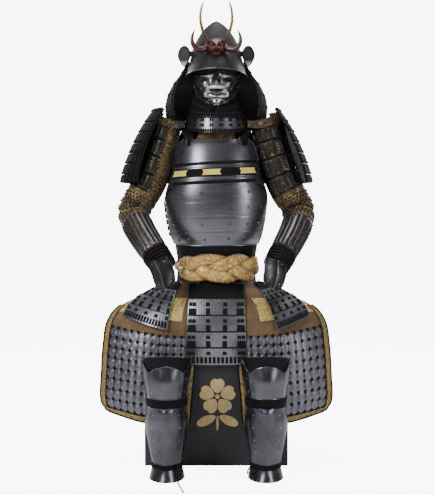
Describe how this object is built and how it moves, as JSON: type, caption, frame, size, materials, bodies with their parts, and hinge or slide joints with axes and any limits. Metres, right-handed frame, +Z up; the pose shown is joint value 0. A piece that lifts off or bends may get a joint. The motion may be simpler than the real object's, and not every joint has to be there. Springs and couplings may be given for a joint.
{
  "type": "samurai armour on storage chest with display stand",
  "caption": "Seated samurai armour with horned helmet, face mask, steel cuirass, laced shoulder guards, brocade sleeves and thigh guards on a black chest, shin guards standing in front.",
  "frame": {"origin": "centre of the bounding box, without the tie cords, at floor level", "axes": "+Z up, -Y towards the viewer, +X to the viewer's right"},
  "size_m": [0.8266, 0.7665, 1.6363],
  "materials": {
    "chest": "matte black lacquer",
    "stand": "plain dark wood",
    "steel": "satin, darkened",
    "dark": "dark russet lacquered iron",
    "lace": "black silk lacing",
    "brocade": "gold and brown brocade",
    "belt": "golden brocade braid",
    "lacquer": "dark red lacquer",
    "gold": "gilt",
    "trim": "gold brocade edging",
    "silver": "silvered lip",
    "brown": "brown hemp cloth"
  },
  "bodies": {
    "root": {"chest_box": "chest", "chest_lid": "chest", "stand": "stand", "helmet_bowl": "dark", "helmet_visor": "dark", "neck_guard": "lace", "helmet_ear_r": "dark", "helmet_ear_l": "dark", "crest_mask": "lacquer", "crest_horn_r": "lacquer", "crest_horn_l": "lacquer", "crest_blade_r": "gold", "crest_blade_l": "gold", "face_mask": "dark", "mask_lip": "silver", "cuirass_front": "steel", "cuirass_back": "steel", "chest_band_top": "lace", "chest_band_main": "lace", "chest_band_low": "lace", "shoulder_strap_r": "lace", "shoulder_strap_l": "lace", "gorget": "steel", "collar": "brown", "throat_guard": "lace", "waist_lacing": "lace", "belt": "belt", "sleeve_r": "brocade", "upper_arm_guard_r": "dark", "forearm_guard_r": "steel", "wrist_band_r": "lace", "hand_guard_r": "dark", "shoulder_guard_r": "lace", "sleeve_l": "brocade", "upper_arm_guard_l": "dark", "forearm_guard_l": "steel", "wrist_band_l": "lace", "hand_guard_l": "dark", "shoulder_guard_l": "lace", "thigh_cloth_r": "brown", "thigh_cloth_l": "brown", "thigh_plates_r": "steel", "thigh_plates_l": "steel", "thigh_border_r": "trim", "thigh_border_l": "trim", "tasset_front": "steel", "tasset_side_r": "steel", "tasset_side_l": "steel", "tasset_back": "steel", "shin_guard_r": "steel", "shin_guard_l": "steel", "knee_guard_r": "steel", "knee_guard_l": "steel", "knee_lining_r": "lace", "knee_lining_l": "lace", "ankle_band_r": "lace", "ankle_band_l": "lace", "tie_cord_l": "lace", "tie_cord_r": "lace"}
  },
  "joints": []
}
